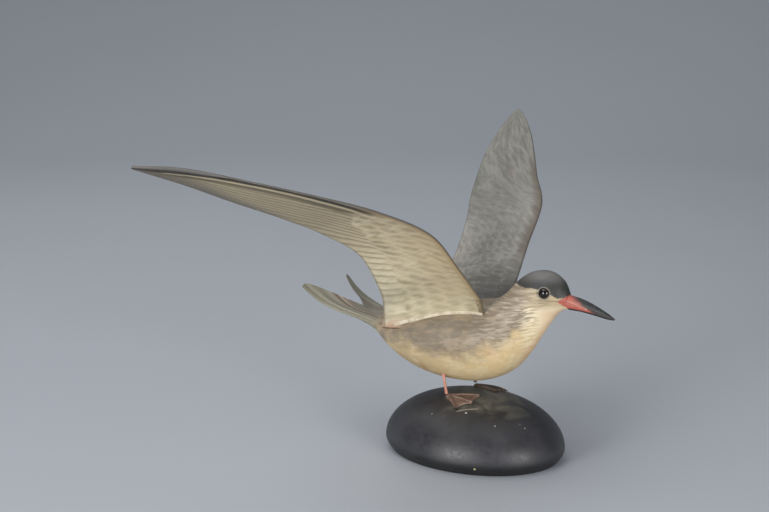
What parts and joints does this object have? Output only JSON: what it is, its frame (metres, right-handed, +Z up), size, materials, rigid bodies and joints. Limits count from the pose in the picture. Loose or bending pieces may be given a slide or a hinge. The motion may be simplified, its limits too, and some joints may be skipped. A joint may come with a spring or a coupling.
{
  "type": "tern carving",
  "caption": "Life-size carved and painted tern with raised wings and forked tail, standing on an oval pebble-like wooden base.",
  "frame": {"origin": "on the base's flat underside, one millimetre ahead of its middle", "axes": "+Z up, +X the way the bird faces, +Y towards the bird's left wing"},
  "size_m": [0.3052, 0.6312, 0.2927],
  "materials": {
    "base_paint": "charcoal paint with a satin wax sheen, worn brown round the feet",
    "body_paint": "oil paint: slate cap, cream breast, grey-brown flanks, coral bill with a dark tip",
    "wing_paint": "oil paint: buff underside with soft grey dabs, mid grey upper side",
    "eye_glass": "dark brown glass, backed with dark paint",
    "leg_paint": "salmon paint",
    "foot_paint": "brown-red paint, worn"
  },
  "bodies": {
    "root": {"base": "base_paint", "body": "body_paint", "wing_left": "wing_paint", "wing_right": "wing_paint", "eye_left": "eye_glass", "eye_right": "eye_glass", "leg_left": "leg_paint", "leg_right": "leg_paint", "foot_left": "foot_paint", "foot_right": "foot_paint"}
  },
  "joints": []
}
